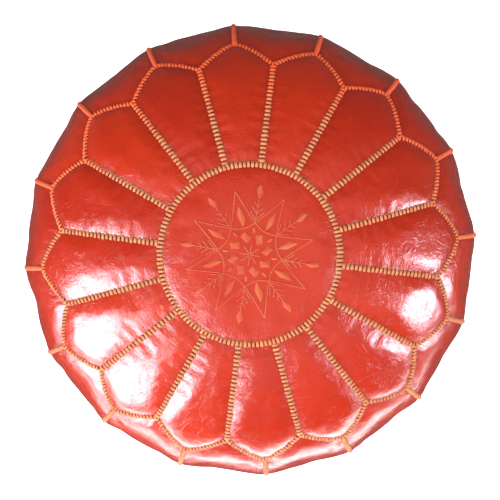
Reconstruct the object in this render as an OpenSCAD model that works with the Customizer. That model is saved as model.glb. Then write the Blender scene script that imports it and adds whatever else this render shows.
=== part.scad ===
// Round hand-stitched leather pouf (floor cushion).
// The cover is a round medallion, a ring of pointed top panels (petals), the same number of side
// panels and a two-piece base with a zip between its halves. Inside is a cotton liner full of wadding.
// The origin is on the floor under the middle of the pouf. Millimetres, +Z up.

/* [Cover] */
// Width across the fullest part of the cover
body_d = 530; // [500:5:560]
// Height from the floor to the top of the medallion
body_h = 330; // [310:5:350]
// Height above the floor of the fullest part of the side
waist_h = 160; // [150:5:170]
// Squareness of the upper shoulder, where 2 is an ellipse
top_power = 2.7; // [2.3:0.1:3.2]
// Squareness of the lower shoulder, where 2 is an ellipse
foot_power = 2.2; // [2.0:0.1:2.6]
// Radius of the flat part that stands on the floor
foot_r = 190; // [186:1:196]
// Thickness of the leather with its backing
leather_t = 2; // [1.6:0.1:2.4]
// Number of petals, and of side panels
panel_count = 16; // [12:1:18]

/* [Seams] */
// Radius of the seam round the medallion
medallion_r = 95.7; // [85:0.1:105]
// Radius of the outer point of a petal, where a side seam starts
petal_tip_r = 232; // [228:1:236]
// Radius of the outer end of the seam between two petals
petal_notch_r = 207.5; // [200:0.5:212]
// Height of the seam between the side panels and the base
base_seam_h = 14; // [13:0.5:16]
// Height that a row of thread stands above the leather
thread_h = 2.2; // [1.6:0.1:2.6]
// Width of the stitch row on the medallion seam
ring_stitch_w = 7.5; // [5:0.5:9]
// Width of the stitch rows between the petals
radial_stitch_w = 7; // [5:0.5:8]
// Width of the stitch rows along the outer edges of the petals
edge_stitch_w = 5; // [4:0.5:6]
// Width of the stitch rows down the side
side_stitch_w = 5.5; // [4:0.5:7]

/* [Medallion embroidery] */
// Radius of the eight points of the star
star_r = 68.5; // [62:0.5:72]
// Closest that the bent sides of the star come to the centre
star_waist_r = 28.5; // [26:0.5:32]
// Width of an embroidered line
line_w = 2.2; // [1.8:0.1:2.6]
// Height of the embroidery thread above the leather
embroidery_h = 0.8; // [0.6:0.1:1.2]
// Turn of the star from the petal points, in degrees
star_turn = 9; // [0:1:22]

/* [Zip] */
// Length of the zip between its end stops
zip_len = 276; // [240:2:276]
// Length of the pull tab from its pivot
pull_len = 29; // [24:1:30]
// Width of the pull tab
pull_w = 7; // [6:0.5:8]

/* [Hidden] */
function two_digits(i) = str(i < 10 ? "0" : "", i);
petal_names = [for (i = [1:panel_count]) str("petal_", two_digits(i))];
side_names = [for (i = [1:panel_count]) str("side_panel_", two_digits(i))];
$fn = 96;

leather_red = "#c43a22";
thread_tan = "#d98a5c";
canvas = "#d8cbb0";
wadding = "#c9c2b4";
tape_brown = "#6b2a1c";
coil_brown = "#4a2018";
brass = "#b08a4a";

body_r = body_d / 2;
step = 360 / panel_count;
beyond = body_d; // larger than anything that is cut
overlap = 5;     // how far a part is made past the cut that trims it
top_turn = 5;    // degrees of the profile's parameter between two points
foot_turn = 6;

// The cover's outer profile. The parameter runs from 0 at the top centre through 90 at the waist
// to 180, where the lower shoulder meets the flat foot.
function shoulder(part, power) = pow(part, 2 / power);
function cover_point(t) = t <= 90
    ? [body_r * shoulder(sin(t), top_power),
       waist_h + (body_h - waist_h) * shoulder(cos(t), top_power)]
    : [foot_r + (body_r - foot_r) * shoulder(sin(t), foot_power),
       waist_h - waist_h * shoulder(-cos(t), foot_power)];
function unit(v) = v / norm(v);
// The outward direction at a point, from the points just before and after it.
function outward(t) =
    t <= 0 ? [0, 1] :
    t >= 180 ? [0, -1] :
    let(d = unit(cover_point(t + 0.5) - cover_point(t - 0.5))) [-d[1], d[0]];
profile_turns = concat([for (t = [0:top_turn:90]) t], [for (t = [90 + foot_turn:foot_turn:180]) t]);
function raised(t, by) = cover_point(t) + by * outward(t);
function raised_line(by) = concat([for (t = profile_turns) raised(t, by)], [[0, -by]]);
function reversed(list) = [for (i = [len(list) - 1:-1:0]) list[i]];

// Cross-section of a skin between two distances outside the cover's surface.
module skin_section(inner, outer) {
    polygon(concat(raised_line(outer), reversed(raised_line(inner))));
}

// Part of that skin between two radii and two heights, turned through an angle from a start.
module skin(inner, outer, start = 0, sweep = 360, r_from = 0, r_to = beyond, z_from = -10, z_to = beyond) {
    rotate([0, 0, start])
        rotate_extrude(angle = sweep)
            intersection() {
                skin_section(inner, outer);
                translate([r_from, z_from]) square([r_to - r_from, z_to - z_from]);
            }
}

function polar(r, a) = [r * cos(a), r * sin(a)];

// Plan of everything inside the petals' outer edges, between two half steps.
module petal_plan(mid) {
    polygon([[0, 0], polar(petal_notch_r, mid - step / 2), polar(petal_tip_r, mid),
             polar(petal_notch_r, mid + step / 2)]);
}

module petal(mid) {
    color(leather_red)
        intersection() {
            skin(-leather_t, 0, mid - step / 2, step, medallion_r, petal_tip_r + overlap, waist_h);
            linear_extrude(beyond) petal_plan(mid);
        }
}

// Side panel whose gable is at the notch between two petals, at the angle mid.
module side_panel(mid) {
    color(leather_red)
        difference() {
            skin(-leather_t, 0, mid - step / 2, step, petal_notch_r - overlap, beyond, base_seam_h);
            translate([0, 0, waist_h])
                linear_extrude(beyond)
                    polygon([[0, 0], polar(petal_tip_r, mid - step / 2), polar(petal_notch_r, mid),
                             polar(petal_tip_r, mid + step / 2)]);
        }
}

module medallion() {
    color(leather_red) skin(-leather_t, 0, r_to = medallion_r, z_from = waist_h);
}

// ---- Medallion embroidery ----
motif_count = 8;
motif_step = 360 / motif_count;
points_each = 4; // each of the two stars has four points

side_bend = 6;   // roundness of the middle of a star's side
side_steps = 16;

// One side of a star from its first point up to the next, bent inward to the waist radius.
function star_side(tip_r, waist_r) =
    let(half = tip_r * sin(180 / points_each),
        rise = half - waist_r + side_bend,
        lean = sqrt(rise * rise - side_bend * side_bend) / half)
    [for (i = [0:side_steps - 1])
        let(y = half * (2 * i / side_steps - 1))
        [waist_r + norm([lean * y, side_bend]) - side_bend, y]];
function turned(points, a) =
    [for (p = points) [p[0] * cos(a) - p[1] * sin(a), p[0] * sin(a) + p[1] * cos(a)]];

module star(tip_r, waist_r) {
    polygon([for (i = [0:points_each - 1]) each turned(star_side(tip_r, waist_r), i * 360 / points_each)]);
}

module star_outline() {
    point_shrink = line_w * 3.2; // a line's width measured along the narrow points
    difference() {
        star(star_r, star_waist_r);
        star(star_r - point_shrink, star_waist_r - line_w);
    }
}

module lozenge(r, long, wide) {
    translate([r, 0])
        polygon([[-long / 2, 0], [0, -wide / 2], [long / 2, 0], [0, wide / 2]]);
}

module line_out(r_from, r_to) {
    translate([r_from, -line_w / 2]) square([r_to - r_from, line_w]);
}

// Where each pair of a sprig's branches starts, and their length.
branches = [[37, 12], [44, 9.5], [51, 6.5]];
branch_turn = 40;

module sprig() {
    line_out(36, 60);
    for (branch = branches, side = [-1, 1])
        translate([branch[0], 0]) rotate(side * branch_turn) line_out(0, branch[1]);
    lozenge(67, 15, 7);
}

// Everything between the centre and one point of the star, with the sprig beside it.
module motif() {
    lozenge(18.5, 12.5, 11);
    lozenge(41, 21, 6.8);
    rotate(motif_step / 2) {
        line_out(0, 11.5);
        lozenge(26, 7.5, 3);
        sprig();
    }
}

module medallion_embroidery() {
    color(thread_tan)
        intersection() {
            skin(0, embroidery_h, r_to = medallion_r - ring_stitch_w, z_from = waist_h);
            linear_extrude(beyond)
                rotate(star_turn) {
                    for (turn = [0, motif_step]) rotate(turn) star_outline();
                    for (i = [0:motif_count - 1]) rotate(i * motif_step) motif();
                }
        }
}

// ---- Base and zip channel ----
// The two base halves fold up into a channel under the zip, so that the zip stays off the floor.
channel_half_w = 24;     // at the floor, to where the leather starts to rise
channel_half_len = 174;
channel_roof = 8.6;      // outer face of the leather beside the zip
slope_t = leather_t * sqrt(2);
slot_half_w = 8;
slot_half_len = zip_len / 2 + 14;
stitch_line_y = 11.5;

// Block with 45 degree sides, as wide as the channel plus a growth on each side.
module channel_block(grow, top) {
    w = channel_half_w + grow;
    l = channel_half_len + grow;
    low = 1; // starts below the floor, so that a cut goes through
    intersection() {
        rotate([90, 0, 90])
            linear_extrude(2 * beyond, center = true)
                polygon([[-w - low, -low], [w + low, -low], [w - top, top], [-w + top, top]]);
        rotate([90, 0, 0])
            linear_extrude(2 * beyond, center = true)
                polygon([[-l - low, -low], [l + low, -low], [l - top, top], [-l + top, top]]);
    }
}

module base_half(side) {
    roof_top = channel_roof + leather_t;
    color(leather_red)
        difference() {
            union() {
                skin(-leather_t, 0, side < 0 ? 180 : 0, 180, z_from = -1, z_to = base_seam_h);
                intersection() {
                    channel_block(slope_t, roof_top);
                    translate([-beyond, side < 0 ? -beyond : 0, 0]) cube([2 * beyond, beyond, beyond]);
                }
            }
            channel_block(0, channel_roof);
            translate([-slot_half_len, -slot_half_w, -1])
                cube([2 * slot_half_len, 2 * slot_half_w, roof_top + 2]);
        }
}

module base_front() { base_half(-1); }
module base_back() { base_half(1); }

// ---- Liner and stuffing ----
liner_gap = 0.5;
liner_t = 1;
zip_room_h = 14.6; // underside of the liner over the zip
zip_room_grow = slope_t + 0.8;
liner_grow = liner_t * sqrt(2);

module liner_bag() {
    outer = -leather_t - liner_gap;
    color(canvas)
        difference() {
            union() {
                skin(outer - liner_t, outer);
                intersection() {
                    channel_block(zip_room_grow + liner_grow, zip_room_h + liner_t);
                    translate([0, 0, -outer]) cylinder(r = foot_r + overlap, h = waist_h);
                }
            }
            channel_block(zip_room_grow, zip_room_h);
        }
}

module stuffing() {
    skin_in = -leather_t - 2 * liner_gap - liner_t;
    color(wadding)
        difference() {
            rotate_extrude() polygon(raised_line(skin_in));
            channel_block(zip_room_grow + liner_grow + liner_gap, zip_room_h + liner_t + liner_gap);
        }
}

// ---- Zip ----
zip_half = zip_len / 2;
stop_len = 4;
tape_half_len = zip_half + 18;
tape_t = 0.8;
tape_z = channel_roof + leather_t; // the tapes lie on the inner face of the leather
tape_out = 15;
coil_gap = 0.6;                    // from the middle to each coil
coil_w = 2.8;
coil_h = 2.8;
chain_z = tape_z + tape_t / 2;     // middle of the coils and tapes
tape_in = coil_gap + coil_w;

module zip_tape(side) {
    color(tape_brown)
        translate([-tape_half_len, side > 0 ? tape_in : -tape_out, tape_z])
            cube([2 * tape_half_len, tape_out - tape_in, tape_t]);
}
module zip_tape_front() { zip_tape(-1); }
module zip_tape_back() { zip_tape(1); }

// Rounded bar along the tape's edge: the outer shape of the wound coil.
module zip_coil(side) {
    corner = 0.8;
    color(coil_brown)
        translate([-zip_half, side * (coil_gap + coil_w / 2), chain_z])
            rotate([90, 0, 90])
                linear_extrude(2 * zip_half)
                    intersection() {
                        square([coil_w, coil_h], center = true);
                        rotate(45) square((coil_w + coil_h - 2 * corner) / sqrt(2), center = true);
                    }
}
module zip_coil_front() { zip_coil(-1); }
module zip_coil_back() { zip_coil(1); }

module zip_end_stops() {
    color(brass)
        for (end = [-1, 1])
            translate([end * (zip_half + stop_len / 2), 0, chain_z])
                cube([stop_len, 2 * coil_gap + 2 * coil_w, coil_h], center = true);
}

// Thread rows that hold the tapes to the leather, seen on the channel's roof.
module zip_seam_stitches() {
    row_w = 1.2;
    row_h = 0.5;
    row_half_len = zip_half + 12;
    color(thread_tan)
        for (side = [-1, 1])
            translate([-row_half_len, side * stitch_line_y - row_w / 2, channel_roof - row_h])
                cube([2 * row_half_len, row_w, row_h]);
}

// The slider runs between the stops. At rest it is at the closed end, on the -X side.
slider_half_len = 6;
slider_half_w = 5.8;
stop_gap = 1;
travel_half = zip_half - slider_half_len - stop_gap;
plate_t = 1.1;
plate_gap = 0.4;                        // between the coils and each plate
plate_low = chain_z - coil_h / 2 - plate_gap;
plate_high = chain_z + coil_h / 2 + plate_gap;
flange_w = 1.2;
flange_gap = 0.4;
pivot_z = 6.1;
pivot_r = 0.8;
pivot_clearance = 0.08;
eye_r = 1.6;
eye_half_w = 1.3;
cheek_in = 1.6;
cheek_out = 2.5;

module slider_plate(z) {
    translate([-slider_half_len, -slider_half_w, z])
        cube([2 * slider_half_len, 2 * slider_half_w, plate_t]);
}

module slider_flanges(z, h) {
    for (side = [-1, 1])
        translate([-slider_half_len, side > 0 ? slider_half_w - flange_w : -slider_half_w, z])
            cube([2 * slider_half_len, flange_w, h]);
}

module zip_slider() {
    bridge_half_w = 0.3;
    flange_h = plate_high - tape_z - tape_t - flange_gap;
    color(brass)
        translate([-travel_half, 0, 0]) {
            slider_plate(plate_low - plate_t);
            slider_plate(plate_high);
            slider_flanges(plate_low, flange_h);
            slider_flanges(plate_high - flange_h, flange_h);
            translate([-slider_half_len + 1, -bridge_half_w, plate_low])
                cube([5, 2 * bridge_half_w, plate_high - plate_low]);
            for (side = [-1, 1])
                translate([0, side > 0 ? cheek_out : -cheek_in, 0])
                    rotate([90, 0, 0]) {
                        translate([0, pivot_z, 0]) cylinder(r = eye_r, h = cheek_out - cheek_in);
                        translate([-eye_r, pivot_z, 0])
                            cube([2 * eye_r, plate_low - plate_t - pivot_z, cheek_out - cheek_in]);
                    }
            translate([0, cheek_out, pivot_z])
                rotate([90, 0, 0]) cylinder(r = pivot_r, h = 2 * cheek_out);
        }
}

// Pull tab, which at rest lies along +X under the zip.
module zip_pull() {
    tab_t = 1.4;
    neck_end = 3.4;
    finger_hole_r = 1.6;
    end_x = pull_len - pull_w / 2;
    color(brass)
        translate([-travel_half, 0, pivot_z])
            difference() {
                union() {
                    translate([0, eye_half_w, 0]) rotate([90, 0, 0]) cylinder(r = eye_r, h = 2 * eye_half_w);
                    translate([0, -eye_half_w, -tab_t / 2]) cube([neck_end + 1, 2 * eye_half_w, tab_t]);
                    translate([neck_end, -pull_w / 2, -tab_t / 2]) cube([end_x - neck_end, pull_w, tab_t]);
                    translate([end_x, 0, -tab_t / 2]) cylinder(r = pull_w / 2, h = tab_t);
                }
                translate([0, pull_w, 0])
                    rotate([90, 0, 0]) cylinder(r = pivot_r + pivot_clearance, h = 2 * pull_w);
                translate([end_x, 0, -tab_t]) cylinder(r = finger_hole_r, h = 2 * tab_t);
            }
}

// ---- Stitch rows on the cover ----
module medallion_ring_stitches() {
    color(thread_tan)
        skin(0, thread_h, r_from = medallion_r - ring_stitch_w / 2, r_to = medallion_r + ring_stitch_w / 2,
             z_from = waist_h);
}

// Plan of a straight strip between two points, a given width.
module strip(from, to, w) {
    d = unit(to - from);
    side = [-d[1], d[0]] * w / 2;
    polygon([from + side, to + side, to - side, from - side]);
}

// Length near the notch that is left to the petals' edge stitches.
notch_clear = edge_stitch_w * 0.75;

module radial_stitches() {
    color(thread_tan)
        for (i = [0:panel_count - 1]) {
            a = (i + 0.5) * step;
            intersection() {
                skin(0, thread_h, a - step / 4, step / 2, medallion_r + ring_stitch_w / 2,
                     petal_tip_r, waist_h);
                linear_extrude(beyond)
                    strip(polar(medallion_r / 2, a), polar(petal_notch_r - notch_clear, a), radial_stitch_w);
            }
        }
}

module petal_edge_stitches() {
    color(thread_tan)
        intersection() {
            skin(0, thread_h, r_from = petal_notch_r - edge_stitch_w - overlap,
                 r_to = petal_tip_r + edge_stitch_w + overlap, z_from = waist_h);
            difference() {
                linear_extrude(beyond) polygon(petal_border(edge_stitch_w / 2));
                translate([0, 0, -1]) linear_extrude(beyond + 2) polygon(petal_border(-edge_stitch_w / 2));
            }
        }
}

// Zigzag line through the petals' points and notches, moved outwards by a distance.
edge_slant = 1.2; // radial distance for each unit across the slanting edge
function petal_border(by) = [for (i = [0:2 * panel_count - 1])
    polar((i % 2 == 0 ? petal_tip_r : petal_notch_r) + by * edge_slant, i * step / 2)];

base_row_half_h = 3;
row_gap = 0.4;                                // between the side rows and the base row
outside_r = body_r + thread_h + overlap;

module side_seam_stitches() {
    color(thread_tan)
        for (i = [0:panel_count - 1]) {
            a = i * step;
            intersection() {
                skin(0, thread_h, a - step / 8, step / 4, foot_r, beyond,
                     base_seam_h + base_row_half_h + row_gap);
                linear_extrude(beyond) strip(polar(foot_r, a), polar(outside_r, a), side_stitch_w);
                side_seam_room();
            }
        }
}

// Everything that is not over the petals and their edge stitches.
module side_seam_room() {
    difference() {
        cylinder(r = outside_r, h = beyond);
        translate([0, 0, waist_h]) linear_extrude(beyond) polygon(petal_border(edge_stitch_w / 2));
    }
}

module base_ring_stitches() {
    color(thread_tan)
        skin(0, thread_h, r_from = foot_r, z_from = base_seam_h - base_row_half_h,
             z_to = base_seam_h + base_row_half_h);
}

for (i = [0:panel_count - 1]) {
    petal(i * step);
    side_panel((i + 0.5) * step);
}
medallion();
medallion_embroidery();
base_front();
base_back();
liner_bag();
stuffing();
zip_tape_front();
zip_tape_back();
zip_coil_front();
zip_coil_back();
zip_slider();
zip_pull();
zip_end_stops();
zip_seam_stitches();
medallion_ring_stitches();
radial_stitches();
petal_edge_stitches();
side_seam_stitches();
base_ring_stitches();
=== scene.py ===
"""Looks of a round stitched leather floor pouf: a Blender add-on that is run as a script."""

import math

import bmesh
import bpy
import numpy as np
from bpy.props import FloatProperty, FloatVectorProperty, IntProperty, PointerProperty
from mathutils import Matrix, Vector
from mathutils.bvhtree import BVHTree


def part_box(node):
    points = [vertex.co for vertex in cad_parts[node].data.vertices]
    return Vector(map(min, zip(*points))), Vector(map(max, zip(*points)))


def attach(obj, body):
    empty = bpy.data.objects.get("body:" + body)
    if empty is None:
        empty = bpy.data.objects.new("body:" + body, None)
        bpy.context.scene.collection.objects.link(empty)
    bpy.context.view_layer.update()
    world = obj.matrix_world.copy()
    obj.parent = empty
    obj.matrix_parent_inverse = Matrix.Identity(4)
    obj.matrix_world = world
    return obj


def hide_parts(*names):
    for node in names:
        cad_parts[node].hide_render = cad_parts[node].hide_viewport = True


bl_info = {
    "name": "Leather Pouf",
    "version": (1, 0, 0),
    "blender": (4, 5, 0),
    "location": "3D View > Sidebar > Pouf",
    "description": "Stitched leather floor pouf, built around its design frame",
    "category": "Add Mesh",
}

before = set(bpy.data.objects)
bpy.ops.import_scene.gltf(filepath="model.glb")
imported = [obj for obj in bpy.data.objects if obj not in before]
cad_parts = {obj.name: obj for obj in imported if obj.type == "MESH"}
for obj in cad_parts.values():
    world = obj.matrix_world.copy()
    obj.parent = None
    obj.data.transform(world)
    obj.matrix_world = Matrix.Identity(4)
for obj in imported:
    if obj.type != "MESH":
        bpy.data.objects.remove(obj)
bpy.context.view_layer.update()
MM = 0.001

# ---- Driving sizes, read from the frame ----
PETALS = sorted(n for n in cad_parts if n.startswith("petal_") and n[-2:].isdigit())
SIDES = sorted(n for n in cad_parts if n.startswith("side_panel_"))
PANELS = len(PETALS)
HALF_STEP = math.pi / PANELS
WAIST_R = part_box(SIDES[0])[1][0]
TOP_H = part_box("medallion")[1][2]
RING_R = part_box("medallion")[1][0]
TIP_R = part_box(PETALS[0])[1][0]
NOTCH_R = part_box(PETALS[0])[1][1] / math.sin(HALF_STEP)
BASE_SEAM_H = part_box("base_front")[1][2]
COIL_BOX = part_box("zip_coil_front")
TAPE_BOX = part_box("zip_tape_front")


# ---- Settings ----
def length(name, default, description):
    return FloatProperty(name=name, description=description, default=default, unit="LENGTH")


def colour(name, default, description):
    return FloatVectorProperty(name=name, description=description, default=default, size=3, min=0, max=1,
                               subtype="COLOR")


def share(name, default, description):
    return FloatProperty(name=name, description=description, default=default, min=0, max=1, subtype="FACTOR")


class PoufCover(bpy.types.PropertyGroup):
    waist_height: length("Waist height", 0.16, "Height of the fullest part of the side")
    foot_radius: length("Foot radius", 0.19, "Radius of the flat part that stands on the floor")
    top_power: FloatProperty(name="Top squareness", default=2.7,
                             description="2 makes the upper shoulder an ellipse")
    foot_power: FloatProperty(name="Foot squareness", default=2.2,
                              description="2 makes the lower shoulder an ellipse")
    seam_sink: length("Seam sink", 2.2 * MM, "Depth of the petal seams below the round surface")
    petal_puff: length("Petal puff", 3.4 * MM, "Height of a petal's middle above its seams")
    side_puff: length("Side puff", 0.9 * MM, "Height of a side panel's middle above its chord")
    medallion_puff: length("Medallion puff", 0.8 * MM,
                           "Height of the medallion above its seam, over the round surface")
    leather: length("Leather", 1.3 * MM, "Thickness of the leather")
    lip: length("Turned edge", 3.2 * MM, "Depth of the edges that are turned in at the seams")
    grid: length("Mesh pitch", 4.0 * MM, "Size of the leather's mesh before subdivision")


class PoufLeather(bpy.types.PropertyGroup):
    bright: colour("Bright dye", (0.235, 0.0115, 0.0008), "Where the dye is thin and orange")
    deep: colour("Deep dye", (0.185, 0.0068, 0.0006), "Where the dye is thick and red")
    # Painted shade: this colour darkens the leather in the folds beside the stitches, where shadow falls.
    painted_seam_shade: colour("Seam shade", (0.07, 0.005, 0.002), "In the folds beside the stitches")
    roughness: share("Roughness", 0.21, "Roughness of the waxed surface")


class PoufThread(bpy.types.PropertyGroup):
    # Pale and dark mix at random. Towards -Y, where the lamps stand, and towards the middle, the thread's
    # paleness is partly painted sheen and partly a real dye difference. The fresh colour shows elsewhere.
    pale: colour("Pale thread", (0.325, 0.122, 0.047), "Lit tops of the seam thread")
    dark: colour("Dark thread", (0.25, 0.074, 0.025), "Dyed parts of the seam thread")
    fresh_without_sheen: colour("Fresh thread", (0.44, 0.058, 0.013), "Where the thread isn't worn pale")
    embroidery: colour("Embroidery", (0.31, 0.066, 0.016), "Embroidery thread on the medallion")
    seed: IntProperty(name="Seed", description="Fixes the small differences between stitches", default=7)


class PoufStage(bpy.types.PropertyGroup):
    camera_height: length("Camera height", 1.54, "Height of the camera above the floor")
    camera_lead: length("Camera lead", 0.039, "How far the camera stands behind the middle")
    camera_roll: FloatProperty(name="Camera roll", description="Turn of the picture", subtype="ANGLE",
                               default=math.radians(-4.2))
    picture_share: share("Share of the picture", 0.4412, "The pouf's radius over the picture's width")
    floor: colour("Floor", (0.93, 0.93, 0.93), "Plain pale floor")


# ---- Node trees ----
class Value:
    """A socket that takes part in Python expressions: each operator adds a Math node."""

    def __init__(self, tree, socket):
        self.tree, self.socket = tree, socket

    def math(self, operation, *others, clamp=False):
        made = self.tree.node(self.tree.math_kind, {"operation": operation, "use_clamp": clamp},
                              {i: v for i, v in enumerate((self, *others))})
        return Value(self.tree, made.outputs[0])

    def __add__(self, other):
        return self.math("ADD", other)

    __radd__ = __add__

    def __mul__(self, other):
        return self.math("MULTIPLY", other)

    __rmul__ = __mul__

    def __sub__(self, other):
        return self.math("SUBTRACT", other)

    def __rsub__(self, other):
        return (self * -1) + other

    def __truediv__(self, other):
        return self.math("DIVIDE", other)

    def clamp(self):
        return self.math("ADD", 0.0, clamp=True)

    def falloff(self, reach):
        """1 at zero, falling to 0 as the value grows past reach."""
        return (self / -reach).math("EXPONENT")


class Tree:
    """Makes the nodes of one tree, each from its type, its settings and its sockets' values or links."""

    math_kind = "ShaderNodeMath"

    def __init__(self, tree):
        self.tree = tree

    def node(self, kind, settings=None, sockets=None):
        made = self.tree.nodes.new(kind)
        for key, value in (settings or {}).items():
            setattr(made, key, value)
        for key, value in (sockets or {}).items():
            if isinstance(value, Value):
                self.tree.links.new(value.socket, made.inputs[key])
            else:
                made.inputs[key].default_value = value
        return made

    def value(self, kind, settings=None, sockets=None, output=0):
        return Value(self, self.node(kind, settings, sockets).outputs[output])


class Paint(Tree):
    """A material: its texture helpers and its Principled shader."""

    def __init__(self, name):
        self.material = bpy.data.materials.new(name)
        self.material.use_nodes = True
        super().__init__(self.material.node_tree)
        self.tree.nodes.clear()
        self.place = self.value("ShaderNodeTexCoord", output="Object")

    def attribute(self, name):
        return self.value("ShaderNodeAttribute", {"attribute_name": name}, output="Fac")

    def uv(self):
        return self.value("ShaderNodeUVMap", {"uv_map": "Panel"})

    def scaled(self, place, x, y, z=1.0):
        return self.value("ShaderNodeMapping", None, {"Vector": place, "Scale": (x, y, z)})

    def noise(self, scale, detail=3.0, roughness=0.55, place=None, distortion=0.0):
        return self.value("ShaderNodeTexNoise", None,
                          {"Vector": place or self.place, "Scale": scale, "Detail": detail,
                           "Roughness": roughness, "Distortion": distortion})

    def cells(self, scale, feature="F1", place=None):
        return self.value("ShaderNodeTexVoronoi", {"feature": feature},
                          {"Vector": place or self.place, "Scale": scale})

    def spread(self, value, low, high):
        """value between low and high, spread over 0 to 1."""
        return self.value("ShaderNodeMapRange", {"clamp": True}, {0: value, 1: low, 2: high})

    def mix(self, factor, first, second):
        as_colour = [c if isinstance(c, Value) else (*c, 1) for c in (first, second)]
        return self.value("ShaderNodeMix", {"data_type": "RGBA"},
                          {0: factor, 6: as_colour[0], 7: as_colour[1]}, output=2)

    def bump(self, height, distance, strength=1.0, normal=None):
        sockets = {"Height": height, "Distance": distance, "Strength": strength}
        if normal:
            sockets["Normal"] = normal
        return self.value("ShaderNodeBump", None, sockets)

    def finish(self, **sockets):
        shader = self.node("ShaderNodeBsdfPrincipled", None,
                           {key.replace("_", " "): value for key, value in sockets.items()})
        output = self.node("ShaderNodeOutputMaterial")
        self.tree.links.new(shader.outputs[0], output.inputs["Surface"])
        return self.material


def cached(make):
    """Each material and node tree is made once."""
    kept = {}

    def get(*given):
        if given not in kept:
            kept[given] = make(*given)
        return kept[given]

    return get


# ---- Materials ----
@cached
def cover_leather(name="cover_leather"):
    """Waxed goat leather: blotchy dye, pores, creases that run out from the seams, and painted shade in the
    folds beside them.
    """
    s = bpy.context.scene.pouf_leather
    p = Paint(name)
    side, end, tone = p.attribute("side_near"), p.attribute("end_near"), p.attribute("tone")
    near = side.math("MINIMUM", end)
    blotches = p.spread(p.noise(9, 4, 0.6) * 0.55 + p.noise(46, 3, 0.6) * 0.30 + tone * 0.30, 0.38, 0.74)
    mottle = p.spread(p.noise(420, 2, 0.6), 0.35, 0.7)
    dye = p.mix(blotches, tuple(s.deep), tuple(s.bright))
    dye = p.mix(mottle * 0.16, dye, (0.24, 0.022, 0.004))
    veins = p.spread(p.cells(150, "DISTANCE_TO_EDGE"), 0.0, 0.05)
    dye = p.mix((1 - veins) * 0.14, dye, (0.14, 0.006, 0.002))
    # Painted shade: the dye darkens within a few millimetres of each seam, where the leather folds into
    # shadow.
    fold = near.falloff(2.4 * MM)
    dye = p.mix((fold * 1.15).clamp(), dye, tuple(s.painted_seam_shade))
    across = p.noise(1, 3, 0.65, p.scaled(p.uv(), 60, 330), 0.8)
    along = p.noise(1, 3, 0.65, p.scaled(p.uv(), 330, 60), 0.8)
    creases = across * side.falloff(15 * MM) + along * end.falloff(13 * MM)
    grain = p.cells(760) * 0.55 + p.noise(900, 2, 0.7) * 0.45
    slow = p.noise(26, 3, 0.5)
    wrinkles = 1 - (p.noise(85, 4, 0.62, distortion=1.6) * 2 - 1).math("ABSOLUTE")
    fine = 1 - (p.noise(1, 3, 0.6, p.scaled(p.uv(), 70, 420), 1.4) * 2 - 1).math("ABSOLUTE")
    lines = (1 - (p.noise(62, 4, 0.6, distortion=1.4) * 2 - 1).math("ABSOLUTE")).math("POWER", 14.0)
    normal = p.bump(slow, 0.9 * MM, 0.6)
    normal = p.bump(lines * -1, 0.15 * MM, 0.7, normal)
    normal = p.bump(wrinkles * 0.5 + fine * 0.5, 0.27 * MM, 0.75, normal)
    normal = p.bump(creases, 0.95 * MM, 0.8, normal)
    normal = p.bump(grain, 0.04 * MM, 0.5, normal)
    wax = (p.spread(p.noise(240, 3, 0.7), 0.2, 0.55) * 0.35 + 0.7 - lines * 0.5).clamp()
    rough = s.roughness - 0.06 + p.noise(60, 3, 0.6) * 0.12 + grain * 0.05
    return p.finish(Base_Color=dye, Roughness=rough, Normal=normal, Specular_IOR_Level=0.85,
                    Coat_Weight=wax * 0.4, Coat_Roughness=0.16)


@cached
def seam_thread():
    """Thick waxed thread, each stitch a little different, paler towards -Y, the lamps' side, and towards the
    middle: partly painted sheen, partly a real dye difference.
    """
    s = bpy.context.scene.pouf_thread
    p = Paint("seam_thread")
    tone = p.attribute("tone")
    mottled = p.spread(p.noise(500, 3, 0.6) * 0.6 + tone * 0.5, 0.25, 0.8)
    shade = p.mix(mottled, tuple(s.dark), tuple(s.pale))
    parts = p.node("ShaderNodeSeparateXYZ", None, {0: p.place})
    x, y = (Value(p, parts.outputs[i]) for i in range(2))
    # Painted sheen: the thread stays pale towards -Y, where the lamps stand, and towards the middle;
    # elsewhere the fresh colour shows. This is partly painted sheen and partly a real dye difference.
    rim = (x * x + y * y).math("SQRT") - 0.2
    without_painted_sheen = p.spread(y + rim * 2.6 + p.noise(12) * 0.08, 0.05, 0.24)
    shade = p.mix(without_painted_sheen, shade, tuple(s.fresh_without_sheen))
    fibres = p.noise(1, 2, 0.6, p.scaled(p.place, 2600, 2600, 900))
    normal = p.bump(fibres, 0.25 * MM, 0.8)
    return p.finish(Base_Color=shade, Roughness=0.55 + fibres * 0.15, Normal=normal, Specular_IOR_Level=0.4)


@cached
def embroidery_thread():
    """Fine twisted thread, close to the leather's own colour."""
    s = bpy.context.scene.pouf_thread
    p = Paint("embroidery_thread")
    worn = p.spread(p.noise(38, 2, 0.5), 0.38, 0.62)
    shade = p.mix(worn, (0.30, 0.034, 0.009), tuple(s.embroidery))
    twist = p.value("ShaderNodeTexWave", {"bands_direction": "DIAGONAL"},
                    {"Vector": p.place, "Scale": 700.0, "Distortion": 1.5}, output="Fac")
    return p.finish(Base_Color=shade, Roughness=0.42 + twist * 0.12, Normal=p.bump(twist, 0.12 * MM, 0.8))


@cached
def woven_cloth(name, pale, dark, scale):
    """Plain weave that follows object space."""
    p = Paint(name)
    yarns = {"Vector": p.place, "Scale": scale, "Distortion": 0.6}
    warp, weft = (p.value("ShaderNodeTexWave", {"bands_direction": way}, yarns, output="Fac")
                  for way in "XY")
    weave = warp * weft
    stains = p.spread(p.noise(14, 4, 0.6), 0.3, 0.75)
    shade = p.mix(weave * 0.5 + stains * 0.4, dark, pale)
    return p.finish(Base_Color=shade, Roughness=0.85 + weave * 0.1, Normal=p.bump(weave, 0.3 * MM, 0.7))


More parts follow.
